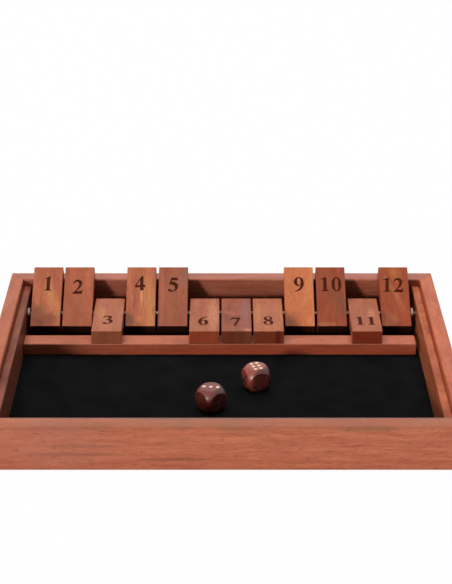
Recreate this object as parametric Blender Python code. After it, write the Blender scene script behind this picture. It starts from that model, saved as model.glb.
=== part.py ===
"""Wooden flip-tile number game: a shallow felt-lined tray with twelve numbered tiles on a steel rod.

The tray lies flat on its base. X runs along the row of tiles, from tile 1 to tile 12,
Y runs from the player's side to the back, and Z is up. The origin is the middle of the underside.
"""

import math

import bmesh
import bpy
from mathutils import Matrix, Vector

# Box
BOX_LENGTH = 0.340
BOX_DEPTH = 0.2494
BOX_HEIGHT = 0.0344
LONG_WALL_THICK = 0.0130
END_WALL_THICK = 0.0107
WALL_EDGE_ROUND = 0.0008

# Base panel, let into a rebate along the bottom of the four walls
BASE_THICK = 0.0025
BASE_REBATE = 0.0050
FELT_THICK = 0.0008

# Strips along the two end walls, which carry a lid and the ends of the rod
LEDGE_DROP = 0.0058
LEDGE_WIDTH = 0.0060
LEDGE_EDGE_ROUND = 0.0005

# Rod
ROD_DIAMETER = 0.0034
ROD_BELOW_LEDGE = 0.0084
ROD_TO_BACK_WALL = 0.0329
ROD_SEAT_DEPTH = 0.0045

# Collars on the rod, one at each end of the row of tiles
COLLAR_DIAMETER = 0.0088
COLLAR_LENGTH = 0.0020

# Number tiles
TILE_COUNT = 12
TILES_UP = (1, 2, 4, 5, 9, 10, 12)
TILE_LENGTH = 0.0556
TILE_THICK = 0.0106
TILE_SPACING = 0.00175
TILE_ROW_END_PLAY = 0.0033
TILE_ROW_SHIFT = -0.0009
TILE_SWING_CLEARANCE = 0.0004
TILE_EDGE_ROUND = 0.0004

# Rail on the felt, which the lowered tiles lie on. Only its right end stops short of the ledge strip
RAIL_DEPTH = 0.0152
RAIL_BELOW_TILE = 0.0013
RAIL_RIGHT_PLAY = 0.0030
RAIL_EDGE_ROUND = 0.0008

# Dice
DIE_SIZE = 0.0180
DIE_BALL_DIAMETER = 0.0228
PIP_DIAMETER = 0.0026
PIP_DEPTH = 0.0005
PIP_SPACING = 0.0042
DIE_1_TURN = math.radians(38.0)
DIE_2_TURN = math.radians(20.0)

# Where the dice lie, as shares of the open felt: across from the middle, and back from the front wall
DIE_1_PLACE_SHARES = (-0.050, 0.440)
DIE_2_PLACE_SHARES = (0.167, 0.653)

# How far each tile has slid along the rod, as a share of TILE_SPACING
TILE_DRIFT_SHARES = (0, 0, -0.05, -0.22, 0, 0.08, 0, -0.1, 0, 0.16, 0.26, 0.42)

# Clearances
SEAT_GAP = 0.0003
BORE_CLEARANCE = 0.00025
CUT_OVERRUN = 0.0020

# How finely round shapes are divided
ROUND_SEGMENTS = 2
ROD_SIDES = 24
BALL_SIDES = 28
PIP_SIDES = 10

# Where the pips of each value lie, as shares of PIP_SPACING from the middle of the face
PIP_PLACE_SHARES = {
    1: ((0, 0),),
    2: ((-1, -1), (1, 1)),
    3: ((-0.8, 0.8), (0, 0), (0.8, -0.8)),
    4: ((-1, -1), (-1, 1), (1, -1), (1, 1)),
    5: ((-1, -1), (-1, 1), (0, 0), (1, -1), (1, 1)),
    6: ((-0.5, -1), (-0.5, 0), (-0.5, 1), (0.5, -1), (0.5, 0), (0.5, 1)),
}

# Worked out from the sizes above
inner_x = BOX_LENGTH / 2 - END_WALL_THICK
inner_y = BOX_DEPTH / 2 - LONG_WALL_THICK
ledge_x = inner_x - SEAT_GAP - LEDGE_WIDTH
ledge_z = BOX_HEIGHT - LEDGE_DROP
felt_bottom = BASE_THICK + SEAT_GAP
felt_top = felt_bottom + FELT_THICK

rod_radius = ROD_DIAMETER / 2
rod_y = inner_y - ROD_TO_BACK_WALL
rod_z = ledge_z - ROD_BELOW_LEDGE
rod_half_length = ledge_x + ROD_SEAT_DEPTH - SEAT_GAP

tile_half = TILE_THICK / 2
tile_pitch = 2 * (ledge_x - TILE_ROW_END_PLAY) / TILE_COUNT
tile_width = tile_pitch - TILE_SPACING
tile_swing_radius = rod_z - felt_top - TILE_SWING_CLEARANCE
tile_short_arm = math.sqrt(tile_swing_radius ** 2 - tile_half ** 2)
tile_long_arm = TILE_LENGTH - tile_short_arm
last_tile_x = (TILE_COUNT - 1) / 2 * tile_pitch + TILE_ROW_SHIFT + TILE_DRIFT_SHARES[-1] * TILE_SPACING
last_tile_face = last_tile_x + tile_width / 2

rail_front = rod_y - tile_long_arm
rail_back = rail_front + RAIL_DEPTH
rail_top = rod_z - tile_half - RAIL_BELOW_TILE
rail_left = -ledge_x + SEAT_GAP
rail_right = ledge_x - RAIL_RIGHT_PLAY


def tilt_over(across, rise, edge_round):
    """Tilt of a tile that lies over a rounded edge and clears it by the seat gap.

    The middle of the edge's round lies `across` from the rod and `rise` above it.
    """
    offset = tile_half + SEAT_GAP + edge_round
    return math.atan2(rise, across) + math.asin(offset / math.hypot(across, rise))


# A raised tile leans on the back wall's inner edge, and a lowered one lies on the rail's front edge
tilt_up = tilt_over(
    ROD_TO_BACK_WALL + WALL_EDGE_ROUND,
    BOX_HEIGHT - WALL_EDGE_ROUND - rod_z,
    WALL_EDGE_ROUND,
)
tilt_down = math.pi - tilt_over(
    rod_y - rail_front - RAIL_EDGE_ROUND,
    rail_top - RAIL_EDGE_ROUND - rod_z,
    RAIL_EDGE_ROUND,
)


def clear_scene():
    for thing in list(bpy.data.objects):
        bpy.data.objects.remove(thing, do_unlink=True)
    for group in list(bpy.data.collections):
        bpy.data.collections.remove(group)


def make_collection(name):
    group = bpy.data.collections.new(name)
    bpy.context.scene.collection.children.link(group)
    return group


clear_scene()
parts = make_collection("shut_the_box")
cutters = make_collection("cutters")


def finish_material(name, colour, roughness, metallic=0.0):
    material = bpy.data.materials.new(name)
    material.use_nodes = True
    shader = material.node_tree.nodes["Principled BSDF"]
    shader.inputs["Base Color"].default_value = (*colour, 1.0)
    shader.inputs["Roughness"].default_value = roughness
    shader.inputs["Metallic"].default_value = metallic
    return material


def add_part(name, mesh_maker, colour, roughness, metallic=0.0):
    """One piece of the game, from a bmesh, with a material of its own."""
    mesh = bpy.data.meshes.new(name)
    mesh_maker.to_mesh(mesh)
    mesh_maker.free()
    piece = bpy.data.objects.new(name, mesh)
    piece.data.materials.append(finish_material(name + "_finish", colour, roughness, metallic))
    parts.objects.link(piece)
    return piece


def add_cutter(name, mesh_maker):
    mesh = bpy.data.meshes.new(name)
    mesh_maker.to_mesh(mesh)
    mesh_maker.free()
    tool = bpy.data.objects.new(name, mesh)
    tool.hide_render = True
    tool.display_type = "WIRE"
    cutters.objects.link(tool)
    return tool


def cut(piece, tool, operation="DIFFERENCE"):
    modifier = piece.modifiers.new(tool.name, "BOOLEAN")
    modifier.operation = operation
    modifier.solver = "EXACT"
    modifier.object = tool


def block(low, high):
    """A box between two corners."""
    shape = bmesh.new()
    bmesh.ops.create_cube(shape, size=1.0)
    low = Vector(low)
    high = Vector(high)
    bmesh.ops.scale(shape, vec=high - low, verts=shape.verts)
    bmesh.ops.translate(shape, vec=(low + high) / 2, verts=shape.verts)
    return shape


def round_edges(shape, width, along=None):
    """Round the edges that run along one axis, or all of them."""
    edges = []
    for edge in shape.edges:
        run = (edge.verts[1].co - edge.verts[0].co).normalized()
        if along is None or abs(run[along]) > math.cos(math.pi / 8):
            edges.append(edge)
    bmesh.ops.bevel(
        shape,
        geom=edges,
        offset=width,
        offset_type="OFFSET",
        segments=ROUND_SEGMENTS,
        profile=0.5,
        affect="EDGES",
        clamp_overlap=True,
        material=-1,
    )


def mitre(shape, corner, toward):
    """Cut the end of a board at half the corner, on the side that the normal points to."""
    normal = Vector(toward).normalized()
    halved = bmesh.ops.bisect_plane(
        shape,
        geom=shape.verts[:] + shape.edges[:] + shape.faces[:],
        plane_co=Vector(corner) - normal * SEAT_GAP / 2,
        plane_no=normal,
        clear_outer=True,
    )
    rim = [item for item in halved["geom_cut"] if isinstance(item, bmesh.types.BMEdge)]
    bmesh.ops.edgeloop_fill(shape, edges=rim)
    bmesh.ops.recalc_face_normals(shape, faces=shape.faces)


# The base panel's recess and the rod's bore are cut out of every piece that they pass through
base_recess = add_cutter("base_recess", block(
    (-inner_x - BASE_REBATE, -inner_y - BASE_REBATE, -CUT_OVERRUN),
    (inner_x + BASE_REBATE, inner_y + BASE_REBATE, BASE_THICK + SEAT_GAP),
))


def rod_shape(radius, half_length, middle_x=0.0):
    """A bar along X on the tiles' axis."""
    shape = bmesh.new()
    bmesh.ops.create_cone(
        shape,
        cap_ends=True,
        segments=ROD_SIDES,
        radius1=radius,
        radius2=radius,
        depth=2 * half_length,
    )
    bmesh.ops.rotate(shape, matrix=Matrix.Rotation(math.pi / 2, 3, "Y"), verts=shape.verts)
    bmesh.ops.translate(shape, vec=(middle_x, rod_y, rod_z), verts=shape.verts)
    return shape


rod_bore = add_cutter("rod_bore", rod_shape(rod_radius + BORE_CLEARANCE, ledge_x + ROD_SEAT_DEPTH))


def add_long_wall(name, side, colour):
    """Front (side -1) or back (side 1) board of the frame, mitred at both ends."""
    outer = side * BOX_DEPTH / 2
    inner = side * inner_y
    shape = block(
        (-BOX_LENGTH / 2, min(outer, inner), 0),
        (BOX_LENGTH / 2, max(outer, inner), BOX_HEIGHT),
    )
    round_edges(shape, WALL_EDGE_ROUND, along=0)
    for end in (-1, 1):
        corner = (end * inner_x, inner, 0)
        mitre(shape, corner, (end * LONG_WALL_THICK, -side * END_WALL_THICK, 0))
    piece = add_part(name, shape, colour, 0.42)
    cut(piece, base_recess)
    return piece


def add_end_wall(name, side, colour):
    """Left (side -1) or right (side 1) board of the frame, mitred at both ends."""
    outer = side * BOX_LENGTH / 2
    inner = side * inner_x
    shape = block(
        (min(outer, inner), -BOX_DEPTH / 2, 0),
        (max(outer, inner), BOX_DEPTH / 2, BOX_HEIGHT),
    )
    round_edges(shape, WALL_EDGE_ROUND, along=1)
    for end in (-1, 1):
        corner = (inner, end * inner_y, 0)
        mitre(shape, corner, (-side * LONG_WALL_THICK, end * END_WALL_THICK, 0))
    piece = add_part(name, shape, colour, 0.42)
    cut(piece, base_recess)
    return piece


def add_ledge_strip(name, side, colour):
    """Strip glued inside an end wall, with a blind hole for the rod."""
    low_x = min(side * ledge_x, side * (ledge_x + LEDGE_WIDTH))
    shape = block(
        (low_x, -inner_y + SEAT_GAP, felt_bottom),
        (low_x + LEDGE_WIDTH, inner_y - SEAT_GAP, ledge_z),
    )
    round_edges(shape, LEDGE_EDGE_ROUND, along=1)
    piece = add_part(name, shape, colour, 0.45)
    cut(piece, rod_bore)
    return piece


add_long_wall("front_wall", -1, (0.47, 0.13, 0.070))
add_long_wall("back_wall", 1, (0.45, 0.13, 0.075))
add_end_wall("left_wall", -1, (0.44, 0.13, 0.075))
add_end_wall("right_wall", 1, (0.48, 0.14, 0.075))
add_ledge_strip("left_ledge_strip", -1, (0.42, 0.12, 0.060))
add_ledge_strip("right_ledge_strip", 1, (0.50, 0.17, 0.080))

base_reach = BASE_REBATE - SEAT_GAP
add_part("base_panel", block(
    (-inner_x - base_reach, -inner_y - base_reach, 0),
    (inner_x + base_reach, inner_y + base_reach, BASE_THICK),
), (0.40, 0.20, 0.10), 0.60)

add_part("felt_lining", block(
    (-ledge_x + SEAT_GAP, -inner_y + SEAT_GAP, felt_bottom),
    (ledge_x - SEAT_GAP, inner_y - SEAT_GAP, felt_top),
), (0.006, 0.006, 0.008), 0.95)

rail = block(
    (rail_left, rail_front, felt_top + SEAT_GAP),
    (rail_right, rail_back, rail_top),
)
round_edges(rail, RAIL_EDGE_ROUND)
add_part("stop_rail", rail, (0.50, 0.17, 0.085), 0.42)

add_part("tile_rod", rod_shape(rod_radius, rod_half_length), (0.72, 0.70, 0.67), 0.22, 1.0)


def add_collar(name, middle_x):
    """A short tube that slides on the rod beside the row of tiles."""
    shape = rod_shape(COLLAR_DIAMETER / 2, COLLAR_LENGTH / 2, middle_x)
    piece = add_part(name, shape, (0.70, 0.66, 0.62), 0.30, 1.0)
    cut(piece, rod_bore)
    return piece


# The left collar lies against its ledge strip, and the right one against the last tile
add_collar("left_collar", -ledge_x + SEAT_GAP + COLLAR_LENGTH / 2)
add_collar("right_collar", last_tile_face + SEAT_GAP + COLLAR_LENGTH / 2)

# Each tile is cut from its own piece of timber, so that their colours differ
TILE_COLOURS = (
    (0.45, 0.14, 0.065),
    (0.42, 0.12, 0.065),
    (0.55, 0.20, 0.110),
    (0.53, 0.19, 0.075),
    (0.35, 0.10, 0.060),
    (0.55, 0.22, 0.120),
    (0.36, 0.12, 0.080),
    (0.55, 0.20, 0.110),
    (0.53, 0.16, 0.050),
    (0.42, 0.10, 0.050),
    (0.53, 0.19, 0.100),
    (0.45, 0.10, 0.040),
)


def add_tile(number):
    """A number tile: a rounded block that turns on the rod, which passes through nearer its short end."""
    shape = block(
        (-tile_width / 2, -tile_short_arm, -tile_half),
        (tile_width / 2, tile_long_arm, tile_half),
    )
    round_edges(shape, TILE_EDGE_ROUND)
    colour = TILE_COLOURS[(number - 1) % len(TILE_COLOURS)]
    tile = add_part(f"number_tile_{number:02d}", shape, colour, 0.45)
    row_step = number - (TILE_COUNT + 1) / 2
    drift = TILE_DRIFT_SHARES[(number - 1) % len(TILE_DRIFT_SHARES)] * TILE_SPACING
    tile.location = (row_step * tile_pitch + TILE_ROW_SHIFT + drift, rod_y, rod_z)
    tile.rotation_euler.x = tilt_up if number in TILES_UP else tilt_down
    cut(tile, rod_bore)
    return tile


for tile_number in range(1, TILE_COUNT + 1):
    add_tile(tile_number)


def face_turns():
    """The turn that brings the top face's pips to each face, opposite faces adding up to seven."""
    quarter = math.pi / 2
    return {
        "top": Matrix.Identity(4),
        "bottom": Matrix.Rotation(math.pi, 4, "X"),
        "front": Matrix.Rotation(quarter, 4, "X"),
        "back": Matrix.Rotation(-quarter, 4, "X"),
        "right": Matrix.Rotation(quarter, 4, "Y"),
        "left": Matrix.Rotation(-quarter, 4, "Y"),
    }


def pip_cutter(name, values):
    """Shallow round dimples for all six faces."""
    shape = bmesh.new()
    dimple_radius = (PIP_DIAMETER ** 2 / 4 + PIP_DEPTH ** 2) / (2 * PIP_DEPTH)
    centre_height = DIE_SIZE / 2 + dimple_radius - PIP_DEPTH
    for face, turn in face_turns().items():
        for column, row in PIP_PLACE_SHARES[values[face]]:
            place = Matrix.Translation((column * PIP_SPACING, row * PIP_SPACING, centre_height))
            bmesh.ops.create_uvsphere(
                shape,
                u_segments=PIP_SIDES,
                v_segments=PIP_SIDES,
                radius=dimple_radius,
                matrix=turn @ place,
            )
    return add_cutter(name, shape)


def add_die(name, values, place_shares, turn, colour):
    """A wooden die: a cube whose corners and edges are turned round by a ball."""
    half = DIE_SIZE / 2
    ball = bmesh.new()
    bmesh.ops.create_uvsphere(
        ball,
        u_segments=BALL_SIDES,
        v_segments=BALL_SIDES // 2,
        radius=DIE_BALL_DIAMETER / 2,
    )
    ball_tool = add_cutter(name + "_ball", ball)
    pips = pip_cutter(name + "_pips", values)
    die = add_part(name, block((-half, -half, -half), (half, half, half)), colour, 0.25)
    cut(die, ball_tool, "INTERSECT")
    cut(die, pips)
    open_depth = rail_front + inner_y
    place = (
        place_shares[0] * ledge_x,
        -inner_y + place_shares[1] * open_depth,
        felt_top + SEAT_GAP + half,
    )
    for thing in (die, ball_tool, pips):
        thing.location = place
        thing.rotation_euler.z = turn
    return die


add_die(
    "die_1",
    {"top": 3, "bottom": 4, "front": 1, "back": 6, "right": 5, "left": 2},
    DIE_1_PLACE_SHARES,
    DIE_1_TURN,
    (0.16, 0.045, 0.030),
)
add_die(
    "die_2",
    {"top": 6, "bottom": 1, "front": 2, "back": 5, "right": 4, "left": 3},
    DIE_2_PLACE_SHARES,
    DIE_2_TURN,
    (0.17, 0.050, 0.035),
)
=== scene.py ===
import math

import bmesh
import bpy
from mathutils import Matrix, Vector, noise


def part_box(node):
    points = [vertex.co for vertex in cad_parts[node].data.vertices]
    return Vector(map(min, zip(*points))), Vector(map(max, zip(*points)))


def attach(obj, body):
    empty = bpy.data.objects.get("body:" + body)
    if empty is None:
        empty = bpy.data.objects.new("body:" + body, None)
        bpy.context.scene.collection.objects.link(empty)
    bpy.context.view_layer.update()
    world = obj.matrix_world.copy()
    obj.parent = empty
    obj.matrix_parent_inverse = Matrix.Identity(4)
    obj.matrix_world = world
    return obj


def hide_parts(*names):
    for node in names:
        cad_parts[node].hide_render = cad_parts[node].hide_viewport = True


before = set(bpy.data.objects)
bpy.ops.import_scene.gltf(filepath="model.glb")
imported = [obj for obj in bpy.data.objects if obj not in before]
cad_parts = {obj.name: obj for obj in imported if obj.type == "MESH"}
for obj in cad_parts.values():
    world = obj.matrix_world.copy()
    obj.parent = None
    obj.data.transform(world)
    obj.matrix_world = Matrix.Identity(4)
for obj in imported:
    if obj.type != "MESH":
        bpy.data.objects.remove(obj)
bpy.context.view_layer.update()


# The studio: a wide white table, a low soft box ahead on the player's left and a wide one above.
# The player looks down at the game from in front of it. Table and surround show white
# behind the game, and the table keeps the game's shadow.
CAMERA_PLACE = (0.0, -1.0707, 0.5796)
CAMERA_PITCH = math.radians(64.8)
CAMERA_LENS = 99.8
FRAMING_SHIFT = 0.0077
SOFT_BOXES = {
    "low_soft_box": ((-3.30, -5.33, 1.71), 0.86, 222.0, True),
    "overhead_soft_box": ((-0.20, 1.20, 3.90), 4.20, 188.0, False),
}
SOFT_BOX_AIM = (0.0, 0.0, 0.02)
SURROUND_STRENGTH = 0.10
TABLE_SIZE = 8.0
TABLE_GLOW = 0.97

camera_data = bpy.data.cameras.new("camera")
camera_data.lens = CAMERA_LENS
camera_data.shift_x = FRAMING_SHIFT
camera = bpy.data.objects.new("camera", camera_data)
camera.location = CAMERA_PLACE
camera.rotation_euler = (CAMERA_PITCH, 0.0, 0.0)
bpy.context.scene.collection.objects.link(camera)
bpy.context.scene.camera = camera
bpy.context.scene.view_settings.view_transform = "Standard"

for box_name, (box_place, box_size, box_watts, mirrored) in SOFT_BOXES.items():
    soft_box_data = bpy.data.lights.new(box_name, "AREA")
    soft_box_data.size = box_size
    soft_box_data.energy = box_watts
    soft_box = bpy.data.objects.new(box_name, soft_box_data)
    soft_box.location = box_place
    soft_box.visible_glossy = mirrored
    to_game = Vector(SOFT_BOX_AIM) - Vector(box_place)
    soft_box.rotation_euler = to_game.to_track_quat("-Z", "Y").to_euler()
    bpy.context.scene.collection.objects.link(soft_box)


class Wire:
    """A node's output, so that a finish reads as a sum: 1 - mask * 0.4 adds the Math nodes it needs."""

    def __init__(self, socket):
        self.socket = socket

    def node(self, kind, settings, inlets, outlet=0):
        """Any other node, from its type, its settings, and the values or wires of its sockets."""
        tree = self.socket.id_data
        made = tree.nodes.new("ShaderNode" + kind)
        for name, value in settings.items():
            setattr(made, name, value)
        for name, value in inlets.items():
            if isinstance(value, Wire):
                tree.links.new(value.socket, made.inputs[name])
            else:
                made.inputs[name].default_value = value
        return Wire(made.outputs[outlet])

    def maths(self, operation, first, second=0.0):
        return self.node("Math", {"operation": operation}, {0: first, 1: second})

    def __add__(self, other):
        return self.maths("ADD", self, other)

    def __sub__(self, other):
        return self.maths("SUBTRACT", self, other)

    def __rsub__(self, other):
        return self.maths("SUBTRACT", other, self)

    def __mul__(self, other):
        return self.maths("MULTIPLY", self, other)

    def __abs__(self):
        return self.maths("ABSOLUTE", self)

    __radd__ = __add__
    __rmul__ = __mul__

    def rise(self, low, high):
        """0 below low, 1 above high, and a smooth step between."""
        return self.node(
            "MapRange",
            {"interpolation_type": "SMOOTHSTEP"},
            {"Value": self, "From Min": low, "From Max": high},
        )

    def tint(self, without, full):
        """From one colour to another as this value goes from 0 to 1."""
        return self.node("Mix", {"data_type": "RGBA"}, {0: self, 6: without, 7: full}, 2)

    def feed(self, shader, name):
        shader.id_data.links.new(self.socket, shader.inputs[name])


def seen_white(start):
    """1 for the rays that show the surround: straight to the camera, or by way of gloss or glass."""
    path = start.node("LightPath", {}, {}, "Is Camera Ray")
    tree_node = path.socket.node
    glossy = Wire(tree_node.outputs["Is Glossy Ray"])
    through = Wire(tree_node.outputs["Is Transmission Ray"])
    return path.maths("MAXIMUM", path, path.maths("MAXIMUM", glossy, through))


surround = bpy.data.worlds.new("surround")
surround.use_nodes = True
bpy.context.scene.world = surround
surround_light = surround.node_tree.nodes["Background"]
surround_light.inputs["Color"].default_value = (1.0, 1.0, 1.0, 1.0)
surround_seen = seen_white(Wire(surround_light.outputs[0]))
(surround_seen * (1.0 - SURROUND_STRENGTH) + SURROUND_STRENGTH).feed(surround_light, "Strength")

table_finish = bpy.data.materials.new("white_table")
table_finish.use_nodes = True
table_tree = table_finish.node_tree
table_shader = table_tree.nodes["Principled BSDF"]
table_shader.inputs["Base Color"].default_value = (0.86, 0.86, 0.86, 1.0)
table_shader.inputs["Roughness"].default_value = 0.9
table_shader.inputs["Specular IOR Level"].default_value = 0.1
table_start = Wire(table_shader.outputs[0])
table_glow = table_start.node("Emission", {}, {"Color": (1.0, 1.0, 1.0, 1.0), "Strength": 1.0})
table_mix = table_start.node(
    "MixShader", {}, {0: seen_white(table_start) * TABLE_GLOW, 1: table_start, 2: table_glow}
)
table_mix.feed(table_tree.nodes["Material Output"], "Surface")

table_shape = bmesh.new()
bmesh.ops.create_grid(table_shape, x_segments=2, y_segments=2, size=TABLE_SIZE / 2)
table_mesh = bpy.data.meshes.new("studio_table")
table_shape.to_mesh(table_mesh)
table_shape.free()
table_mesh.materials.append(table_finish)
table = bpy.data.objects.new("studio_table", table_mesh)
bpy.context.scene.collection.objects.link(table)


# The frame: four boards of a reddish hardwood, planed, mitred and glued at the corners.
# Their long edges are eased by hand, and a rebate along the bottom inner edge takes the floor panel.
# The finish is rubbed satin lacquer over open grain.
BOARD_EASE = 0.0013
EASE_STEPS = 4
MITRE_GLUE_LINE = 0.00006


def shade(red, green, blue):
    """A colour given as it shows on a screen, 0 to 255, in the linear values that a shader takes."""
    linear = []
    for part in (red, green, blue):
        share = part / 255
        linear.append(share / 12.92 if share <= 0.04045 else ((share + 0.055) / 1.055) ** 2.4)
    return (*linear, 1.0)


HEART_OLIVE = shade(158, 98, 62)
HEART_ROSE = shade(190, 94, 76)
# The near-black that the butt shading paints over an end: painted shade, not a colour of the wood.
PAINTED_SHADE_BLACK = shade(28, 12, 8)

# How far a piece lies from the log's pith, how many rings there are to the metre across the grain
# and along it, how far they wander, and how deep the open grain is.
PITH_OFFSET = (0.0, 0.004, 0.034)
RINGS_ACROSS = 330.0
RINGS_ALONG = 24.0
RING_WANDER = 0.006
GRAIN_DEPTH = 0.00018


def start_finish(name, roughness):
    """A new finish, its shader, and a wire that the nodes of its pattern start from."""
    finish = bpy.data.materials.new(name)
    finish.use_nodes = True
    shader = finish.node_tree.nodes["Principled BSDF"]
    shader.inputs["Roughness"].default_value = roughness
    return finish, shader, Wire(shader.outputs[0])


def stretched_noise(place, along, across, detail, roughness=0.5):
    """Noise that is drawn out along the grain: so many cells to the metre along it, and across it."""
    drawn_out = place.node(
        "VectorMath", {"operation": "MULTIPLY"}, {0: place, 1: (along, across, across)}
    )
    return place.node(
        "TexNoise", {}, {"Vector": drawn_out, "Scale": 1.0, "Detail": detail, "Roughness": roughness}
    )


def timber(
    name, centre, turn, grain, seed, pale, deep, streak, marks=(), butt_painted_shade=0.5, gloss=0.3, end=None
):
    """Lacquered hardwood sawn from one log, with its growth rings, fibres and pores.

    centre and turn put the piece's own axes in the pattern, with X along the grain. grain is
    that direction on the finished game, for the darker end grain, and the butt shading darkens
    the end that it points away from towards black: painted shade. marks are long or round
    patches of another colour: (middle, half sizes, turn about Z, colour, strength), in the piece's
    own axes. gloss is the lacquer's. end is the end grain's own tint and its strength.
    """
    finish, shader, start = start_finish(name, 0.40)
    shader.inputs["Specular IOR Level"].default_value = gloss
    coords = start.node("TexCoord", {}, {}, "Object")
    own = coords.node(
        "Mapping",
        {"vector_type": "TEXTURE"},
        {"Vector": coords, "Location": centre, "Rotation": turn},
    )
    wood = own.node(
        "VectorMath",
        {"operation": "ADD"},
        {0: own, 1: (seed * 1.31, math.sin(seed) * 0.020, math.cos(seed * 1.7) * 0.012)},
    )
    wander = stretched_noise(wood, 26.0, 60.0, 2.0)
    from_pith = wood.node(
        "VectorMath",
        {"operation": "MULTIPLY_ADD"},
        {0: wood, 1: (0.0, 1.0, 1.0), 2: PITH_OFFSET},
    )
    radius = from_pith.node("VectorMath", {"operation": "LENGTH"}, {0: from_pith}, "Value")
    along = wood.node("SeparateXYZ", {}, {0: wood}, "X")
    ring_place = wood.node(
        "CombineXYZ",
        {},
        {"X": along * RINGS_ALONG, "Y": (radius + wander * RING_WANDER) * RINGS_ACROSS, "Z": seed},
    )
    rings = wood.node(
        "TexNoise", {}, {"Vector": ring_place, "Scale": 1.0, "Detail": 5.0, "Roughness": 0.62}
    )
    fibres = stretched_noise(wood, 190.0, 1500.0, 3.0, 0.6)
    mottle = stretched_noise(wood, 30.0, 110.0, 3.0)
    blush = stretched_noise(wood, 24.0, 170.0, 2.0)
    streaks = stretched_noise(wood, 150.0, 760.0, 4.0, 0.6)
    pores = stretched_noise(wood, 260.0, 2600.0, 1.0)

    colour = rings.rise(0.34, 0.68).tint(pale, deep)
    colour = (mottle.rise(0.42, 0.78) * 0.40).tint(colour, deep)
    colour = (blush.rise(0.54, 0.72) * 0.34).tint(colour, HEART_OLIVE)
    colour = (blush.rise(0.46, 0.28) * 0.26).tint(colour, HEART_ROSE)
    for middle, half_sizes, mark_turn, mark_colour, strength in marks:
        mark_place = own.node(
            "Mapping",
            {"vector_type": "TEXTURE"},
            {"Vector": own, "Location": middle, "Rotation": (0.0, 0.0, mark_turn), "Scale": half_sizes},
        )
        from_middle = mark_place.node("VectorMath", {"operation": "LENGTH"}, {0: mark_place}, "Value")
        from_middle = from_middle + (wander - 0.5) * 1.2 + (rings - 0.5) * 1.1 + (streaks - 0.5) * 0.8
        colour = (from_middle.rise(1.45, 0.25) * strength).tint(colour, mark_colour)
    colour = (streaks.rise(0.54, 0.74) * 0.40).tint(colour, streak)
    colour = (fibres.rise(0.30, 0.80) * 0.24).tint(colour, streak)
    pore_mask = pores.rise(0.63, 0.72)
    colour = (pore_mask * 0.45).tint(colour, streak)
    facing = coords.node(
        "VectorMath",
        {"operation": "DOT_PRODUCT"},
        {0: Wire(coords.socket.node.outputs["Normal"]), 1: grain},
        "Value",
    )
    end_grain = abs(facing).rise(0.70, 0.95)
    end_tint, end_strength = end or (streak, 0.5)
    colour = (end_grain * end_strength).tint(colour, end_tint)
    # Painted shade: the end that the grain points away from is darkened towards black, as the raised
    # tiles' short ends look in shade.
    colour = (facing.rise(-0.70, -0.95) * butt_painted_shade).tint(colour, PAINTED_SHADE_BLACK)
    colour.feed(shader, "Base Color")
    (fibres * 0.16 + pore_mask * 0.10 + 0.30).feed(shader, "Roughness")
    relief = fibres * 0.6 + rings * 0.3 - pore_mask * 0.8
    bump = relief.node("Bump", {}, {"Strength": 0.22, "Distance": GRAIN_DEPTH, "Height": relief})
    bump.feed(shader, "Normal")
    return finish


def eased_block(low, high, ease, steps, axes=(0, 1, 2)):
    """A planed block between two corners, with the edges that run along the given axes rounded."""
    shape = bmesh.new()
    bmesh.ops.create_cube(shape, size=1.0)
    low = Vector(low)
    high = Vector(high)
    bmesh.ops.scale(shape, vec=high - low, verts=shape.verts)
    bmesh.ops.translate(shape, vec=(low + high) / 2, verts=shape.verts)
    edges = []
    for edge in shape.edges:
        run = edge.verts[1].co - edge.verts[0].co
        if max(range(3), key=lambda axis: abs(run[axis])) in axes:
            edges.append(edge)
    if edges:
        bmesh.ops.bevel(
            shape,
            geom=edges,
            offset=ease,
            offset_type="OFFSET",
            segments=steps,
            profile=0.5,
            affect="EDGES",
            clamp_overlap=True,
            material=-1,
        )
    return shape


def saw_off(shape, point, away):
    """Saw through the shape at a plane, drop the side that away points to, and close the cut."""
    sawn = bmesh.ops.bisect_plane(
        shape,
        geom=shape.verts[:] + shape.edges[:] + shape.faces[:],
        plane_co=point,
        plane_no=away,
        clear_outer=True,
    )
    rim = [item for item in sawn["geom_cut"] if isinstance(item, bmesh.types.BMEdge)]
    bmesh.ops.edgeloop_fill(shape, edges=rim)


def finished_mesh(piece):
    """The piece's mesh with its modifiers applied, so that they can be removed."""
    bpy.context.view_layer.update()
    evaluated = piece.evaluated_get(bpy.context.evaluated_depsgraph_get())
    mesh = bpy.data.meshes.new_from_object(evaluated)
    piece.modifiers.clear()
    piece.data = mesh
    return mesh


def soften(mesh, crease=35.0):
    """Smooth shading that keeps the corners which are sharper than the crease, in degrees."""
    mesh.shade_smooth()
    mesh.set_sharp_from_angle(angle=math.radians(crease))


def add_piece(name, shape, finishes, body, node):
    """A finished piece of the game, which rides on a body and stands for one node."""
    mesh = bpy.data.meshes.new(name)
    shape.to_mesh(mesh)
    shape.free()
    for finish in finishes:
        mesh.materials.append(finish)
    piece = bpy.data.objects.new(name, mesh)
    bpy.context.scene.collection.objects.link(piece)
    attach(piece, body)
    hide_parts(node)
    return piece


def keep_flats(piece):
    """Let the large flat faces set the shading, so that rounded edges don't bend it."""
    soften(piece.data)
    weighting = piece.modifiers.new("flats_first", "WEIGHTED_NORMAL")
    weighting.keep_sharp = True


def cut_out(piece, tool_shape):
    """Cut a shape out of a piece. The cut's walls take the finish that the tool's faces name."""
    tool_mesh = bpy.data.meshes.new(piece.name + "_tool")
    tool_shape.to_mesh(tool_mesh)
    tool_shape.free()
    tool = bpy.data.objects.new(piece.name + "_tool", tool_mesh)
    bpy.context.scene.collection.objects.link(tool)
    cutting = piece.modifiers.new("cut", "BOOLEAN")
    cutting.operation = "DIFFERENCE"
    cutting.solver = "EXACT"
    cutting.object = tool
    finished_mesh(piece)
    bpy.data.objects.remove(tool, do_unlink=True)


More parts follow.
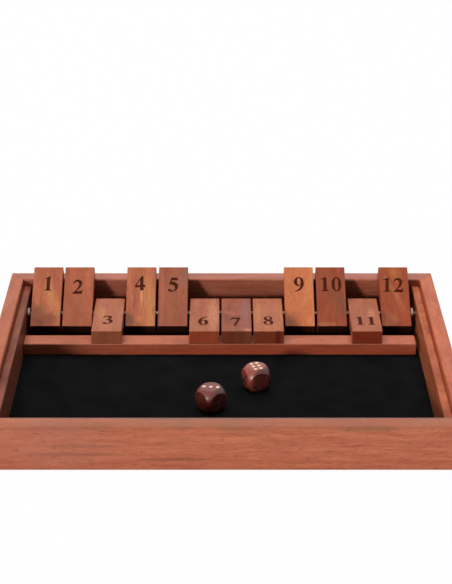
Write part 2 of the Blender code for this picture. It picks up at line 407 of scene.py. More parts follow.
FRAME_STREAK = shade(96, 40, 24)
STREAK_MARK = shade(104, 52, 32)
OLIVE_MARK = shade(150, 104, 62)
FRONT_MARKS = (
    ((-0.0895, 0.0, 0.0020), (0.0290, 1.0, 0.0013), 0.0, STREAK_MARK, 0.55),
    ((-0.1000, 0.0, -0.0046), (0.0340, 1.0, 0.0014), 0.0, STREAK_MARK, 0.60),
    ((-0.0350, 0.0, -0.0082), (0.0240, 1.0, 0.0012), 0.0, STREAK_MARK, 0.40),
    ((-0.1150, 0.0, 0.0020), (0.0450, 1.0, 0.0200), 0.0, shade(186, 112, 88), 0.55),
    ((-0.0850, -0.0065, 0.0172), (0.0110, 0.0060, 0.0030), 0.0, OLIVE_MARK, 0.60),
    ((-0.0260, -0.0065, 0.0172), (0.0070, 0.0060, 0.0030), 0.0, OLIVE_MARK, 0.60),
    ((0.0020, -0.0065, 0.0172), (0.0080, 0.0060, 0.0030), 0.0, OLIVE_MARK, 0.45),
    ((0.0980, -0.0065, 0.0154), (0.0180, 0.0060, 0.0022), 0.0, OLIVE_MARK, 0.55),
    # The last two marks darken the whole top face of the board: painted shade, so that the top shows no
    # brighter than the front.
    ((0.0, -0.0030, 0.0172), (0.2500, 0.0060, 0.0035), 0.0, shade(148, 92, 68), 0.60),
    ((0.0, 0.0060, 0.0172), (0.2500, 0.0036, 0.0040), 0.0, shade(124, 96, 84), 0.75),
)
# Piece, axis and side, the grain's seed, pale and deep wood, gloss, and marks
FRAME_BOARDS = {
    "front_wall": ("front_board", 0, -1, 3.0, shade(204, 118, 83), shade(182, 94, 64), 0.3, FRONT_MARKS),
    "back_wall": ("back_board", 0, 1, 8.0, shade(184, 105, 79), shade(158, 80, 57), 0.5, ()),
    "left_wall": ("left_board", 1, -1, 13.0, shade(192, 108, 74), shade(164, 84, 54), 0.3, ()),
    "right_wall": ("right_board", 1, 1, 21.0, shade(206, 110, 74), shade(178, 86, 54), 0.3, ()),
}
REBATE_PLAY = Vector((0.0003, 0.0003, 0.0003))
panel_low, panel_high = (Vector(corner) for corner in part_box("base_panel"))
tray_low = (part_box("left_wall")[1][0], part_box("front_wall")[1][1])
tray_high = (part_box("right_wall")[0][0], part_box("back_wall")[0][1])

for node_name, board_facts in FRAME_BOARDS.items():
    piece_name, axis, side, board_seed, board_pale, board_deep, board_gloss, board_marks = board_facts
    board_low, board_high = (list(corner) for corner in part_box(node_name))
    board = eased_block(board_low, board_high, BOARD_EASE, EASE_STEPS, (axis,))
    across = 1 - axis
    inner = board_low[across] if side > 0 else board_high[across]
    outer = board_high[across] if side > 0 else board_low[across]
    for end in (-1, 1):
        end_tip = board_high[axis] if end > 0 else board_low[axis]
        other_thick = abs(end_tip - (tray_high if end > 0 else tray_low)[axis])
        away = Vector((0.0, 0.0, 0.0))
        away[axis] = end * abs(outer - inner)
        away[across] = -side * other_thick
        away.normalize()
        tip = Vector((0.0, 0.0, 0.0))
        tip[axis] = end_tip
        tip[across] = outer
        saw_off(board, tip - away * MITRE_GLUE_LINE / 2, away)
    bmesh.ops.recalc_face_normals(board, faces=board.faces)
    board_centre = (Vector(board_low) + Vector(board_high)) / 2
    board_grain = (1.0, 0.0, 0.0) if axis == 0 else (0.0, 1.0, 0.0)
    board_finish = timber(
        piece_name + "_timber",
        board_centre,
        (0.0, 0.0, axis * math.pi / 2),
        board_grain,
        board_seed,
        board_pale,
        board_deep,
        FRAME_STREAK,
        board_marks,
        gloss=board_gloss,
    )
    board_piece = add_piece(piece_name, board, [board_finish], "tray", node_name)
    cut_out(board_piece, eased_block(panel_low - REBATE_PLAY, panel_high + REBATE_PLAY, 0.0, 1, ()))
    keep_flats(board_piece)


# The ledges: a strip of the same timber glued inside each end board, below its rim.
# Both have a blind hole for the steel rod, and their tops are eased like the frame.
LEDGE_EASE = 0.0006
rod_low, rod_high = (Vector(corner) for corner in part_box("tile_rod"))
rod_middle = (rod_low + rod_high) / 2
rod_radius = (rod_high.z - rod_low.z) / 2
ROD_HOLE_PLAY = 0.00022
ROD_END_PLAY = 0.0003
ROD_SIDES = 64


def rod_bar(radius, half_length):
    """A round bar along the tiles' axis."""
    shape = bmesh.new()
    bmesh.ops.create_cone(
        shape, cap_ends=True, segments=ROD_SIDES, radius1=radius, radius2=radius, depth=2 * half_length
    )
    bmesh.ops.rotate(shape, matrix=Matrix.Rotation(math.pi / 2, 3, "Y"), verts=shape.verts)
    bmesh.ops.translate(shape, vec=rod_middle, verts=shape.verts)
    return shape


# The left ledge's darker, less red wood is painted shade: it stands where the left board's shadow falls.
for node_name, piece_name, ledge_seed, ledge_pale, ledge_deep in (
    ("left_ledge_strip", "left_ledge", 31.0, shade(150, 92, 73), shade(104, 52, 40)),
    ("right_ledge_strip", "right_ledge", 44.0, shade(200, 114, 76), shade(148, 72, 46)),
):
    ledge_low, ledge_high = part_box(node_name)
    ledge = eased_block(ledge_low, ledge_high, LEDGE_EASE, EASE_STEPS, (1,))
    ledge_finish = timber(
        piece_name + "_timber",
        (Vector(ledge_low) + Vector(ledge_high)) / 2,
        (0.0, 0.0, math.pi / 2),
        (0.0, 1.0, 0.0),
        ledge_seed,
        ledge_pale,
        ledge_deep,
        FRAME_STREAK,
        gloss=0.12,
    )
    ledge_piece = add_piece(piece_name, ledge, [ledge_finish], "tray", node_name)
    rod_hole = rod_bar(rod_radius + ROD_HOLE_PLAY, (rod_high.x - rod_low.x) / 2 + ROD_END_PLAY)
    cut_out(ledge_piece, rod_hole)
    keep_flats(ledge_piece)


# The floor panel: a thin board that closes the tray from below and carries the felt.
# It is glued into the rebate under the frame, and its underside is left plain.
PANEL_EASE = 0.0003
PANEL_EASE_STEPS = 2
panel_finish = timber(
    "floor_panel_timber",
    (Vector(panel_low) + Vector(panel_high)) / 2,
    (0.0, 0.0, 0.0),
    (1.0, 0.0, 0.0),
    57.0,
    shade(188, 130, 92),
    shade(150, 94, 62),
    shade(110, 64, 40),
)
panel = add_piece(
    "floor_panel",
    eased_block(panel_low, panel_high, PANEL_EASE, PANEL_EASE_STEPS),
    [panel_finish],
    "tray",
    "base_panel",
)
keep_flats(panel)


# The felt: black wool felt, cut to the floor between the ledges and glued down.
# Its face is a short uneven nap, and its cut edges turn down a little.
FELT_CELL = 0.0024
FELT_NAP = 0.00006
FELT_LIFT = 0.00024
FELT_EDGE_TURN = 0.0009
FELT_EDGE_DROP = 0.00025
FELT_WAVES_TO_METRE = 90.0
felt_low, felt_high = (Vector(corner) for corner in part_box("felt_lining"))
felt_size = felt_high - felt_low
felt_middle = (felt_low + felt_high) / 2
felt_top = felt_high.z + FELT_LIFT - FELT_NAP

felt_finish, felt_shader, felt_start = start_finish("black_wool_felt", 1.0)
felt_shader.inputs["Specular IOR Level"].default_value = 0.02
felt_coords = felt_start.node("TexCoord", {}, {}, "Object")
felt_hairs = felt_start.node(
    "TexNoise",
    {},
    {"Vector": felt_coords, "Scale": 1500.0, "Detail": 3.0, "Roughness": 0.7, "Distortion": 1.2},
)
felt_clumps = felt_start.node("TexNoise", {}, {"Vector": felt_coords, "Scale": 60.0, "Detail": 3.0})
felt_tone = felt_clumps * 0.35 + felt_hairs * 0.65
felt_colour = felt_tone.rise(0.25, 0.75).tint(shade(11, 11, 12), shade(27, 27, 28))
felt_colour.feed(felt_shader, "Base Color")
felt_bump = felt_start.node("Bump", {}, {"Strength": 0.7, "Distance": 0.0003, "Height": felt_hairs})
felt_bump.feed(felt_shader, "Normal")

felt_shape = bmesh.new()
bmesh.ops.create_grid(
    felt_shape,
    x_segments=round(felt_size.x / FELT_CELL),
    y_segments=round(felt_size.y / FELT_CELL),
    size=0.5,
)
for vert in felt_shape.verts:
    spot = Vector((vert.co.x * felt_size.x, vert.co.y * felt_size.y, 0.0))
    to_edge = min(felt_size.x / 2 - abs(spot.x), felt_size.y / 2 - abs(spot.y))
    turn_down = max(0.0, 1.0 - to_edge / FELT_EDGE_TURN) * FELT_EDGE_DROP
    nap = noise.noise(spot * FELT_WAVES_TO_METRE) * FELT_NAP
    vert.co = (felt_middle.x + spot.x, felt_middle.y + spot.y, felt_top + nap - turn_down)
felt_rim = [edge for edge in felt_shape.edges if edge.is_boundary]
felt_wall = bmesh.ops.extrude_edge_only(felt_shape, edges=felt_rim)["geom"]
for item in felt_wall:
    if isinstance(item, bmesh.types.BMVert):
        item.co.z = felt_low.z
felt_sole = [edge for edge in felt_shape.edges if edge.is_boundary]
bmesh.ops.edgeloop_fill(felt_shape, edges=felt_sole)
bmesh.ops.recalc_face_normals(felt_shape, faces=felt_shape.faces)
felt = add_piece("felt", felt_shape, [felt_finish], "tray", "felt_lining")
soften(felt.data)


# The stop rail: a square bar of the frame's timber, which the tiles drop on to.
# It is glued across the tray on the felt, between the ledges, with all its edges eased.
RAIL_EASE = 0.0009
RAIL_RED = shade(188, 66, 38)
rail_low, rail_high = (Vector(corner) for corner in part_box("stop_rail"))
rail_front = (rail_low.y - rail_high.y) / 2
rail_finish = timber(
    "stop_rail_timber",
    (rail_low + rail_high) / 2,
    (0.0, 0.0, 0.0),
    (1.0, 0.0, 0.0),
    66.0,
    shade(191, 105, 69),
    shade(154, 76, 47),
    FRAME_STREAK,
    (((0.045, rail_front, -0.001), (0.135, 0.0012, 0.0055), 0.0, RAIL_RED, 0.5),),
    gloss=0.7,
)
rail = add_piece(
    "stop_bar",
    eased_block(rail_low, rail_high, RAIL_EASE, EASE_STEPS),
    [rail_finish],
    "tray",
    "stop_rail",
)
keep_flats(rail)


# The rod: drawn bright steel, 3.4 mm thick, which all twelve tiles turn on.
# Its ends are chamfered and pushed into the blind holes in the ledges.
ROD_CHAMFER = 0.0004
rod_finish, rod_shader, rod_start = start_finish("bright_steel", 0.2)
rod_shader.inputs["Metallic"].default_value = 1.0
rod_coords = rod_start.node("TexCoord", {}, {}, "Object")
draw_lines = stretched_noise(rod_coords, 40.0, 5200.0, 3.0)
dulling = stretched_noise(rod_coords, 120.0, 300.0, 2.0)
# The rod's darker, warm brown colour is painted reflection and shade, for the brown wood that the steel
# mirrors and the shade it lies in.
rod_colour = dulling.rise(0.35, 0.75).tint(shade(156, 134, 120), shade(118, 96, 84))
rod_colour.feed(rod_shader, "Base Color")
(draw_lines * 0.14 + dulling * 0.14 + 0.20).feed(rod_shader, "Roughness")
rod_bump = rod_start.node("Bump", {}, {"Strength": 0.15, "Distance": 0.00004, "Height": draw_lines})
rod_bump.feed(rod_shader, "Normal")
rod_shape = rod_bar(rod_radius, (rod_high.x - rod_low.x) / 2)
rod_rims = []
for edge in rod_shape.edges:
    if abs(edge.verts[0].co.x - edge.verts[1].co.x) < rod_radius / 2:
        rod_rims.append(edge)
bmesh.ops.bevel(
    rod_shape,
    geom=rod_rims,
    offset=ROD_CHAMFER,
    offset_type="OFFSET",
    segments=1,
    profile=0.5,
    affect="EDGES",
    clamp_overlap=True,
    material=-1,
)
rod = add_piece("steel_rod", rod_shape, [rod_finish], "tray", "tile_rod")
soften(rod.data)


# The collars: two short tubes turned from steel, one at each end of the row of tiles.
# They are bored to slide on the rod, their rims are chamfered, and the tool left fine rings on them.
COLLAR_CHAMFER = 0.00025
COLLAR_BORE_PLAY = 0.00012
TOOL_RINGS_TO_METRE = 9000.0
collar_finish, collar_shader, collar_start = start_finish("turned_steel", 0.35)
collar_shader.inputs["Metallic"].default_value = 1.0
collar_coords = collar_start.node("TexCoord", {}, {}, "Object")
from_axis = collar_coords.node(
    "VectorMath",
    {"operation": "MULTIPLY_ADD"},
    {0: collar_coords, 1: (0.0, 1.0, 1.0), 2: (0.0, -rod_middle.y, -rod_middle.z)},
)
turned_radius = from_axis.node("VectorMath", {"operation": "LENGTH"}, {0: from_axis}, "Value")
along_axis = collar_coords.node("SeparateXYZ", {}, {0: collar_coords}, "X")
tool_path = collar_coords.node(
    "CombineXYZ",
    {},
    {"X": along_axis * TOOL_RINGS_TO_METRE, "Y": turned_radius * TOOL_RINGS_TO_METRE},
)
tool_rings = collar_coords.node("TexNoise", {}, {"Vector": tool_path, "Scale": 1.0, "Detail": 2.0})
tarnish = collar_coords.node("TexNoise", {}, {"Vector": collar_coords, "Scale": 700.0, "Detail": 2.0})
collar_colour = tarnish.rise(0.3, 0.7).tint(shade(186, 166, 152), shade(150, 124, 112))
collar_colour.feed(collar_shader, "Base Color")
(tool_rings * 0.2 + tarnish * 0.1 + 0.22).feed(collar_shader, "Roughness")
ring_bump = collar_start.node("Bump", {}, {"Strength": 0.3, "Distance": 0.00005, "Height": tool_rings})
ring_bump.feed(collar_shader, "Normal")
for node_name, piece_name in (
    ("left_collar", "left_steel_collar"),
    ("right_collar", "right_steel_collar"),
):
    collar_low, collar_high = (Vector(corner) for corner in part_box(node_name))
    collar_radius = (collar_high.z - collar_low.z) / 2
    collar_shape = rod_bar(collar_radius, (collar_high.x - collar_low.x) / 2)
    collar_offset = (collar_low.x + collar_high.x) / 2 - rod_middle.x
    bmesh.ops.translate(collar_shape, vec=(collar_offset, 0.0, 0.0), verts=collar_shape.verts)
    collar_rims = []
    for edge in collar_shape.edges:
        if abs(edge.verts[0].co.x - edge.verts[1].co.x) < COLLAR_CHAMFER:
            collar_rims.append(edge)
    bmesh.ops.bevel(
        collar_shape,
        geom=collar_rims,
        offset=COLLAR_CHAMFER,
        offset_type="OFFSET",
        segments=1,
        profile=0.5,
        affect="EDGES",
        clamp_overlap=True,
        material=-1,
    )
    collar = add_piece(piece_name, collar_shape, [collar_finish], "tray", node_name)
    cut_out(collar, rod_bar(rod_radius + COLLAR_BORE_PLAY, rod_high.x - rod_low.x))
    soften(collar.data)


# The number tiles: twelve blocks sawn from offcuts, so that each has its own colour and figure.
# The numeral is burnt into both broad faces near the long end, and each tile turns freely on the rod.
TILE_LENGTH = 0.0556
TILE_THICK = 0.0106
TILE_SHORT_ARM = 0.015308
TILE_LONG_ARM = TILE_LENGTH - TILE_SHORT_ARM
TILE_EASE = 0.00045
TILT_UP = math.radians(31.848)
TILT_DOWN = math.radians(181.448)
TILES_UP = (1, 2, 4, 5, 9, 10, 12)
NUMERAL_HEIGHT = 0.0133
NUMERAL_UNITS = 688
NUMERAL_DEPTH = 0.00035
NUMERAL_SPREAD = 0.00013
NUMERAL_WIDTH_SHARE = 0.88
NUMERAL_CURVE_STEPS = 6
NUMERAL_WELD = 0.000002
# How far the tiles' short ends are darkened towards black: painted shade.
TILE_BUTT_PAINTED_SHADE = 0.92
BORE_OVERRUN = 0.0013

# The irons were held by hand, so each number sits a little differently: how far its middle is
# from the tile's long end, its shift to the right, the gap between its digits, and its turn.
NUMERAL_PLACES = {
    1: (0.0157, 0.0004, 0.0, -1.0),
    2: (0.0188, -0.0009, 0.0, -1.0),
    3: (0.0192, 0.0, 0.0, 1.5),
    4: (0.0155, -0.0010, 0.0, 2.0),
    5: (0.0167, 0.0, 0.0, -2.0),
    6: (0.0173, -0.0009, 0.0, 0.0),
    7: (0.0161, -0.0008, 0.0, -1.0),
    8: (0.0177, 0.0, 0.0, 0.0),
    9: (0.0163, 0.0001, 0.0, 1.0),
    10: (0.0163, 0.0004, 0.0027, 0.0),
    11: (0.0174, -0.0001, 0.0030, 0.0),
    12: (0.0171, -0.0006, 0.0022, -2.5),
}

# Outlines of a bold book numeral, in units of which NUMERAL_UNITS make its height.
# A point with a third value is a corner, and the curve runs smoothly through the others.
SIX = (
    (
        (440, 688, 1), (448, 668, 1), (300, 600), (205, 490), (178, 395), (280, 425), (420, 370),
        (475, 220), (410, 50), (255, -13), (95, 60), (28, 270), (95, 500), (250, 640),
    ),
    ((255, 385), (312, 330), (332, 200), (318, 75), (255, 15), (190, 80), (168, 220), (185, 335)),
)
NUMERALS = {
    "0": (
        ((250, 688), (405, 595), (466, 337), (405, 80), (250, -13), (95, 80), (34, 337), (95, 595)),
        ((250, 660), (312, 590), (332, 337), (312, 84), (250, 15), (188, 84), (168, 337), (188, 590)),
    ),
    "1": (
        (
            (420, 0, 1), (85, 0, 1), (85, 19, 1), (155, 35), (182, 95, 1), (182, 530, 1),
            (165, 580), (130, 588), (80, 568, 1), (76, 585, 1), (300, 688, 1), (328, 688, 1),
            (328, 95, 1), (355, 35), (420, 19, 1),
        ),
    ),
    "2": (
        (
            (17, 0, 1), (17, 20, 1), (150, 155), (255, 300), (298, 430), (280, 540), (195, 590),
            (110, 565), (48, 480, 1), (28, 487, 1), (85, 620), (235, 688), (385, 625), (435, 505),
            (395, 375), (290, 240), (175, 122, 1), (350, 122), (410, 135), (450, 190, 1),
            (470, 186, 1), (432, 0, 1),
        ),
    ),
    "3": (
        (
            (28, 512, 1), (95, 635), (235, 688), (370, 645), (420, 545), (385, 450), (318, 395, 1),
            (425, 325), (468, 210), (400, 55), (205, -14), (70, 8), (16, 65), (40, 118), (90, 125),
            (150, 85), (225, 38), (300, 60), (335, 150), (305, 250), (235, 300), (150, 318, 1),
            (150, 336, 1), (235, 375), (285, 440), (295, 520), (262, 590), (190, 612), (110, 585),
            (46, 505, 1),
        ),
    ),
    "4": (
        (
            (478, 155, 1), (396, 155, 1), (396, 0, 1), (252, 0, 1), (252, 155, 1), (17, 155, 1),
            (17, 245, 1), (325, 688, 1), (396, 688, 1), (396, 250, 1), (478, 250, 1),
        ),
        ((252, 250, 1), (66, 250, 1), (252, 530, 1)),
    ),
    "5": (
        (
            (145, 676, 1), (440, 676, 1), (405, 555, 1), (165, 555, 1), (138, 482, 1), (300, 465),
            (425, 375), (470, 245), (390, 65), (185, -8), (65, 8), (22, 62), (45, 112), (95, 120),
            (160, 82), (225, 38), (300, 62), (338, 160), (300, 270), (195, 332), (58, 345, 1),
        ),
    ),
    "6": SIX,
    "7": (
        (
            (85, 676, 1), (477, 676, 1), (477, 650, 1), (262, 0, 1), (162, 0, 1), (352, 556, 1),
            (150, 556), (85, 535), (42, 470, 1), (20, 478, 1),
        ),
    ),
    "8": (
        (
            (250, 688), (385, 650), (438, 545), (405, 440), (340, 378), (430, 305), (472, 190),
            (410, 45), (245, -13), (88, 42), (28, 165), (65, 265), (148, 338), (78, 415), (48, 520),
            (105, 640),
        ),
        ((250, 658), (308, 620), (326, 545), (308, 460), (275, 412), (205, 465), (165, 550), (188, 630)),
        ((222, 312), (300, 245), (335, 150), (318, 55), (250, 15), (170, 60), (142, 165), (165, 250)),
    ),
    "9": tuple(
        tuple((500 - point[0], 675 - point[1], *point[2:]) for point in outline) for outline in SIX
    ),
}


def numeral_tool(number, on_back):
    """The solid that burns a tile's number into one broad face, with its digits side by side."""
    from_end, shift, gap, turn_degrees = NUMERAL_PLACES[number]
    unit = NUMERAL_HEIGHT / NUMERAL_UNITS
    spans = []
    for digit in str(number):
        xs = [point[0] * unit * NUMERAL_WIDTH_SHARE for point in NUMERALS[digit][0]]
        spans.append((min(xs), max(xs)))
    total = sum(high - low for low, high in spans) + gap * (len(spans) - 1)
    shape = bmesh.new()
    left = -total / 2
    for digit, (low, high) in zip(str(number), spans):
        curve = bpy.data.curves.new("numeral_" + digit, "CURVE")
        curve.dimensions = "2D"
        curve.fill_mode = "BOTH"
        curve.extrude = NUMERAL_DEPTH
        curve.offset = NUMERAL_SPREAD
        curve.resolution_u = NUMERAL_CURVE_STEPS
        for outline in NUMERALS[digit]:
            spline = curve.splines.new("BEZIER")
            spline.use_cyclic_u = True
            spline.bezier_points.add(len(outline) - 1)
            for point, (x, y, *corner) in zip(spline.bezier_points, outline):
                place = x * unit * NUMERAL_WIDTH_SHARE - low + left
                point.co = (place, (y - NUMERAL_UNITS / 2) * unit, 0.0)
                point.handle_left_type = "VECTOR" if corner else "AUTO"
                point.handle_right_type = "VECTOR" if corner else "AUTO"
        left += high - low + gap
        holder = bpy.data.objects.new("numeral_outline", curve)
        bpy.context.scene.collection.objects.link(holder)
        bpy.context.view_layer.update()
        flat = bpy.data.meshes.new_from_object(
            holder.evaluated_get(bpy.context.evaluated_depsgraph_get())
        )
        shape.from_mesh(flat)
        bpy.data.objects.remove(holder, do_unlink=True)
        bpy.data.meshes.remove(flat)
    bmesh.ops.remove_doubles(shape, verts=shape.verts, dist=NUMERAL_WELD)
    hand_turn = Matrix.Rotation(math.radians(turn_degrees), 4, "Z")
    numeral_y = TILE_LONG_ARM - from_end
    on_face = Matrix.Translation((shift, numeral_y, TILE_THICK / 2)) @ hand_turn
    if on_back:
        flip = Matrix.Rotation(math.pi, 4, "X")
        on_face = Matrix.Translation((shift, numeral_y, -TILE_THICK / 2)) @ flip @ hand_turn
    bmesh.ops.transform(shape, matrix=on_face, verts=shape.verts)
    for face in shape.faces:
        face.material_index = 1
    bmesh.ops.recalc_face_normals(shape, faces=shape.faces)
    return shape


burnt_finish, burnt_shader, burnt_start = start_finish("burnt_numeral", 0.7)
burnt_shader.inputs["Specular IOR Level"].default_value = 0.10
burnt_coords = burnt_start.node("TexCoord", {}, {}, "Object")
char = burnt_start.node(
    "TexNoise", {}, {"Vector": burnt_coords, "Scale": 900.0, "Detail": 4.0, "Roughness": 0.65}
)
burnt_colour = char.rise(0.3, 0.75).tint(shade(46, 14, 8), shade(96, 42, 26))
burnt_colour.feed(burnt_shader, "Base Color")
char_bump = burnt_start.node("Bump", {}, {"Strength": 0.5, "Distance": 0.0001, "Height": char})
char_bump.feed(burnt_shader, "Normal")

GOLD = shade(206, 140, 84)
ROSE = shade(196, 106, 84)
PEACH = shade(222, 146, 108)
MAUVE = shade(146, 100, 94)
OLIVE = shade(140, 88, 60)
UMBER = shade(112, 60, 42)
KNOT = shade(52, 24, 22)
TILE_STREAK = shade(96, 44, 28)

# Pale wood, deep wood, then the tile's marks: along from the rod, right of the middle, half length,
# half width, turn in degrees, colour and strength.
TILE_TIMBERS = {
    1: (
        shade(187, 106, 72), shade(158, 81, 55),
        (
            (0.012, 0.004, 0.016, 0.0045, 18.0, GOLD, 0.5),
            (-0.003, -0.007, 0.009, 0.006, -35.0, OLIVE, 0.75),
            (-0.007, 0.004, 0.0045, 0.006, 28.0, UMBER, 0.55),
            (-0.011, -0.005, 0.0030, 0.005, -30.0, UMBER, 0.50),
            (-0.004, 0.008, 0.0025, 0.003, 60.0, GOLD, 0.40),
        ),
    ),
    2: (
        shade(172, 94, 61), shade(153, 79, 51),
        (
            (0.028, 0.007, 0.012, 0.0022, 0.0, ROSE, 0.6),
            (-0.002, 0.002, 0.012, 0.004, 4.0, OLIVE, 0.35),
        ),
    ),
    3: (
        shade(179, 106, 72), shade(161, 87, 57),
        (
            (0.008, -0.006, 0.010, 0.004, 0.0, GOLD, 0.4),
            (-0.010, -0.007, 0.006, 0.004, 0.0, ROSE, 0.5),
            (0.0405, -0.0025, 0.0009, 0.0045, 0.0, UMBER, 0.45),
            (0.0405, 0.0060, 0.0009, 0.0012, 0.0, UMBER, 0.35),
        ),
    ),
    4: (
        shade(193, 116, 76), shade(168, 90, 61),
        (
            (0.010, 0.007, 0.030, 0.0035, 2.0, GOLD, 0.55),
            (0.006, -0.005, 0.012, 0.0007, 0.0, UMBER, 0.6),
            (0.012, 0.0005, 0.007, 0.0012, 0.0, PEACH, 0.7),
            (-0.009, -0.009, 0.009, 0.0045, -14.0, OLIVE, 0.9),
        ),
    ),
    5: (
        shade(157, 89, 60), shade(137, 72, 49),
        (
            (0.012, -0.009, 0.030, 0.002, 0.0, ROSE, 0.45),
            (0.030, 0.008, 0.010, 0.004, 0.0, MAUVE, 0.35),
        ),
    ),
    6: (
        shade(175, 100, 62), shade(158, 84, 52),
        (
            (0.014, 0.006, 0.026, 0.004, 0.0, PEACH, 0.45),
            (-0.006, -0.007, 0.008, 0.004, 0.0, ROSE, 0.4),
        ),
    ),
    7: (
        shade(160, 80, 44), shade(128, 58, 36),
        (
            (0.008, 0.007, 0.024, 0.005, 0.0, MAUVE, 0.50),
            (0.010, -0.004, 0.0025, 0.007, 20.0, shade(190, 106, 72), 0.5),
            (0.0375, 0.008, 0.004, 0.005, 0.0, PEACH, 0.5),
            (0.036, 0.001, 0.006, 0.0016, 35.0, OLIVE, 0.8),
            (0.0405, -0.0040, 0.0009, 0.0022, 0.0, KNOT, 0.5),
            (0.0405, 0.0050, 0.0009, 0.0030, 0.0, UMBER, 0.5),
        ),
    ),
    8: (
        shade(184, 108, 69), shade(167, 89, 55),
        (
            (0.010, -0.007, 0.014, 0.004, 0.0, GOLD, 0.4),
            (0.0, 0.004, 0.010, 0.005, 0.0, ROSE, 0.35),
            (0.041, 0.007, 0.0022, 0.0028, 0.0, KNOT, 1.0),
        ),
    ),
    9: (
        shade(212, 128, 78), shade(198, 110, 66),
        (
            (0.024, 0.008, 0.020, 0.003, -12.0, GOLD, 0.5),
            (-0.014, -0.0105, 0.0125, 0.0115, -28.0, UMBER, 0.72),
        ),
    ),
    10: (
        shade(154, 73, 40), shade(134, 58, 32),
        (
            (0.004, 0.008, 0.018, 0.0055, 14.0, UMBER, 0.62),
            (-0.0135, -0.004, 0.0020, 0.008, 0.0, GOLD, 0.28),
        ),
    ),
    11: (
        shade(176, 98, 62), shade(158, 82, 51),
        (
            (0.010, 0.005, 0.008, 0.003, 0.0, PEACH, 0.4),
            (0.018, -0.002, 0.0010, 0.010, 14.0, OLIVE, 0.35),
        ),
    ),
    12: (
        shade(162, 76, 38), shade(142, 61, 30),
        (
            (0.034, 0.002, 0.007, 0.0045, 20.0, shade(196, 116, 56), 0.55),
            (0.016, 0.0, 0.014, 0.002, 24.0, GOLD, 0.2),
            (-0.010, -0.005, 0.006, 0.007, 30.0, shade(168, 104, 66), 0.5),
        ),
    ),
}

# The sawn long ends that show on the lowered tiles: tint and strength.
TILE_ENDS = {
    3: (shade(170, 92, 62), 0.4),
    6: (shade(179, 60, 32), 0.5),
    7: (shade(121, 57, 37), 0.7),
    8: (shade(118, 33, 18), 0.7),
    11: (shade(127, 32, 14), 0.7),
}

for number in range(1, 13):
    node_name = f"number_tile_{number:02d}"
    tile_low, tile_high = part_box(node_name)
    tile_half_width = (tile_high[0] - tile_low[0]) / 2
    tile_middle = Vector(((tile_low[0] + tile_high[0]) / 2, rod_middle.y, rod_middle.z))
    tilt = TILT_UP if number in TILES_UP else TILT_DOWN
    tile_shape = eased_block(
        (-tile_half_width, -TILE_SHORT_ARM, -TILE_THICK / 2),
        (tile_half_width, TILE_LONG_ARM, TILE_THICK / 2),
        TILE_EASE,
        EASE_STEPS,
    )
    pale, deep, tile_marks = TILE_TIMBERS[number]
    marks = []
    for along, right, half_length, half_width, degrees, mark_colour, strength in tile_marks:
        half_sizes = (half_length, half_width, 1.0)
        marks.append(((along, -right, 0.0), half_sizes, math.radians(degrees), mark_colour, strength))
    tile_finish = timber(
        f"tile_{number:02d}_timber",
        tile_middle,
        (0.0, -tilt, math.pi / 2),
        (0.0, math.cos(tilt), math.sin(tilt)),
        70.0 + number * 1.7,
        pale,
        deep,
        TILE_STREAK,
        marks,
        TILE_BUTT_PAINTED_SHADE,
        end=TILE_ENDS.get(number),
    )
    tile = add_piece(
        f"tile_{number:02d}_block",
        tile_shape,
        [tile_finish, burnt_finish],
        f"tile_{number:02d}",
        node_name,
    )
    bore = rod_bar(rod_radius + ROD_HOLE_PLAY, tile_half_width + BORE_OVERRUN)
    bmesh.ops.translate(bore, vec=-rod_middle, verts=bore.verts)
    cut_out(tile, bore)
    cut_out(tile, numeral_tool(number, False))
    cut_out(tile, numeral_tool(number, True))
    tile.data.transform(Matrix.Translation(tile_middle) @ Matrix.Rotation(tilt, 4, "X"))
    keep_flats(tile)


# The dice: turned from dark rosewood, cubes with every corner and edge rounded by one ball.
# The pips are pale brass pins set just below the surface, and the whole is polished to a gloss.
# One side of each cube, towards its front and right, is darkened: painted shade, on the side away from
# the low soft box.
DIE_CUTS = 39
DIE_BALL_SHARE = 0.633
DIE_EASE = 0.00025
PIP_DIAMETER = 0.0026
PIP_DEPTH = 0.00023
PIP_SPACING = 0.00425
PIP_STEPS = 32
# Where the dice's painted shade starts and where it is full, along a slant across each die.
SHADED_SIDE_SLANT = (-0.5, 1.0, 0.0)
SHADED_SIDE_START = -0.0045
SHADED_SIDE_FULL = -0.0080
PIP_PLACES = {
    1: ((0.0, 0.0),),
    2: ((-1.0, -1.0), (1.0, 1.0)),
    3: ((-0.83, 0.83), (0.0, 0.0), (0.83, -0.83)),
    4: ((-1.0, -1.0), (-1.0, 1.0), (1.0, -1.0), (1.0, 1.0)),
    5: ((-1.0, -1.0), (-1.0, 1.0), (0.0, 0.0), (1.0, -1.0), (1.0, 1.0)),
    6: ((-0.5, -1.0), (-0.5, 0.0), (-0.5, 1.0), (0.5, -1.0), (0.5, 0.0), (0.5, 1.0)),
}
QUARTER = math.pi / 2
DIE_SIDES = {
    "top": Matrix.Identity(4),
    "bottom": Matrix.Rotation(math.pi, 4, "X"),
    "front": Matrix.Rotation(QUARTER, 4, "X"),
    "back": Matrix.Rotation(-QUARTER, 4, "X"),
    "right": Matrix.Rotation(QUARTER, 4, "Y"),
    "left": Matrix.Rotation(-QUARTER, 4, "Y"),
}
# Piece, turn, pale and deep wood, and the pips of each side
DICE = {
    "die_1": (
        "left_die", math.radians(38.0), shade(128, 54, 41), shade(82, 33, 25),
        {"top": 3, "bottom": 4, "front": 1, "back": 6, "right": 5, "left": 2},
    ),
    "die_2": (
        "right_die", math.radians(20.0), shade(166, 76, 60), shade(122, 52, 40),
        {"top": 6, "bottom": 1, "front": 2, "back": 5, "right": 4, "left": 3},
    ),
}

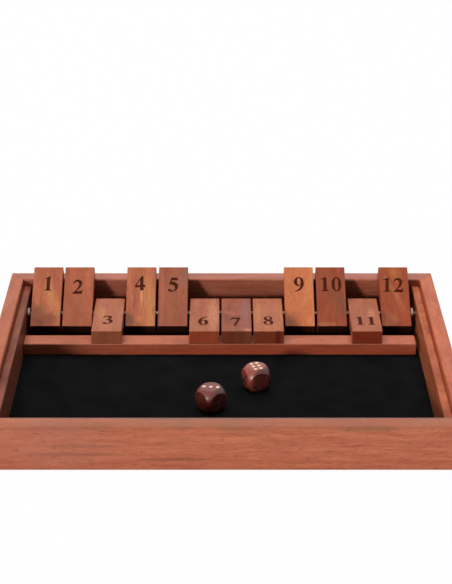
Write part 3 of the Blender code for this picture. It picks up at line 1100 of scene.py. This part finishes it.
pip_finish, pip_shader, pip_start = start_finish("pale_brass_pins", 0.3)
pip_shader.inputs["Metallic"].default_value = 1.0
pip_coords = pip_start.node("TexCoord", {}, {}, "Object")
pip_wear = pip_start.node("TexNoise", {}, {"Vector": pip_coords, "Scale": 900.0, "Detail": 3.0})
pip_colour = pip_wear.rise(0.35, 0.8).tint(shade(252, 232, 208), shade(232, 200, 160))
pip_colour.feed(pip_shader, "Base Color")
(pip_wear * 0.12 + 0.10).feed(pip_shader, "Roughness")

for node_name, (piece_name, turn, die_pale, die_deep, values) in DICE.items():
    die_low, die_high = (Vector(corner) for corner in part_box(node_name))
    die_middle = (die_low + die_high) / 2
    half = (die_high.z - die_low.z) / 2
    die_shape = bmesh.new()
    bmesh.ops.create_cube(die_shape, size=2.0)
    bmesh.ops.subdivide_edges(die_shape, edges=die_shape.edges[:], cuts=DIE_CUTS, use_grid_fill=True)
    ball = DIE_BALL_SHARE * 2 * half
    for vert in die_shape.verts:
        heading = vert.co.normalized()
        to_face = half / max(abs(part) for part in heading)
        overlap = max(0.0, 1.0 - abs(to_face - ball) / DIE_EASE)
        reach = min(to_face, ball) - overlap * overlap * DIE_EASE / 4
        vert.co = heading * reach
    die_finish, die_shader, die_start = start_finish(piece_name + "_rosewood", 0.3)
    die_shader.inputs["Coat Weight"].default_value = 0.28
    die_shader.inputs["Coat Roughness"].default_value = 0.28
    die_coords = die_start.node("TexCoord", {}, {}, "Object")
    die_own = die_start.node(
        "Mapping",
        {"vector_type": "TEXTURE"},
        {"Vector": die_coords, "Location": die_middle, "Rotation": (0.0, 0.0, turn)},
    )
    die_rings = stretched_noise(die_own, 90.0, 700.0, 4.0, 0.6)
    die_fibres = stretched_noise(die_own, 160.0, 3200.0, 3.0, 0.6)
    die_colour = die_rings.rise(0.35, 0.7).tint(die_pale, die_deep)
    # Painted shade: the wood darkens towards the die's front-right side, away from the low soft box.
    to_shaded_side = die_own.node(
        "VectorMath", {"operation": "DOT_PRODUCT"}, {0: die_own, 1: SHADED_SIDE_SLANT}, "Value"
    )
    painted_die_shade = (to_shaded_side + (die_rings - 0.5) * 0.004).rise(SHADED_SIDE_START, SHADED_SIDE_FULL)
    die_colour = (painted_die_shade * 0.88).tint(die_colour, shade(60, 24, 17))
    die_colour = (die_fibres.rise(0.4, 0.8) * 0.4).tint(die_colour, shade(60, 24, 18))
    die_colour.feed(die_shader, "Base Color")
    (die_fibres * 0.15 + 0.32).feed(die_shader, "Roughness")
    die = add_piece(piece_name, die_shape, [die_finish, pip_finish], node_name, node_name)
    pips = bmesh.new()
    dimple = (PIP_DIAMETER ** 2 / 4 + PIP_DEPTH ** 2) / (2 * PIP_DEPTH)
    pip_height = half + dimple - PIP_DEPTH
    for side_name, side_turn in DIE_SIDES.items():
        for column, row in PIP_PLACES[values[side_name]]:
            place = Matrix.Translation((column * PIP_SPACING, row * PIP_SPACING, pip_height))
            bmesh.ops.create_uvsphere(
                pips,
                u_segments=PIP_STEPS,
                v_segments=PIP_STEPS,
                radius=dimple,
                matrix=side_turn @ place,
            )
    for face in pips.faces:
        face.material_index = 1
    cut_out(die, pips)
    die.data.transform(Matrix.Translation(die_middle) @ Matrix.Rotation(turn, 4, "Z"))
    soften(die.data, 30.0)
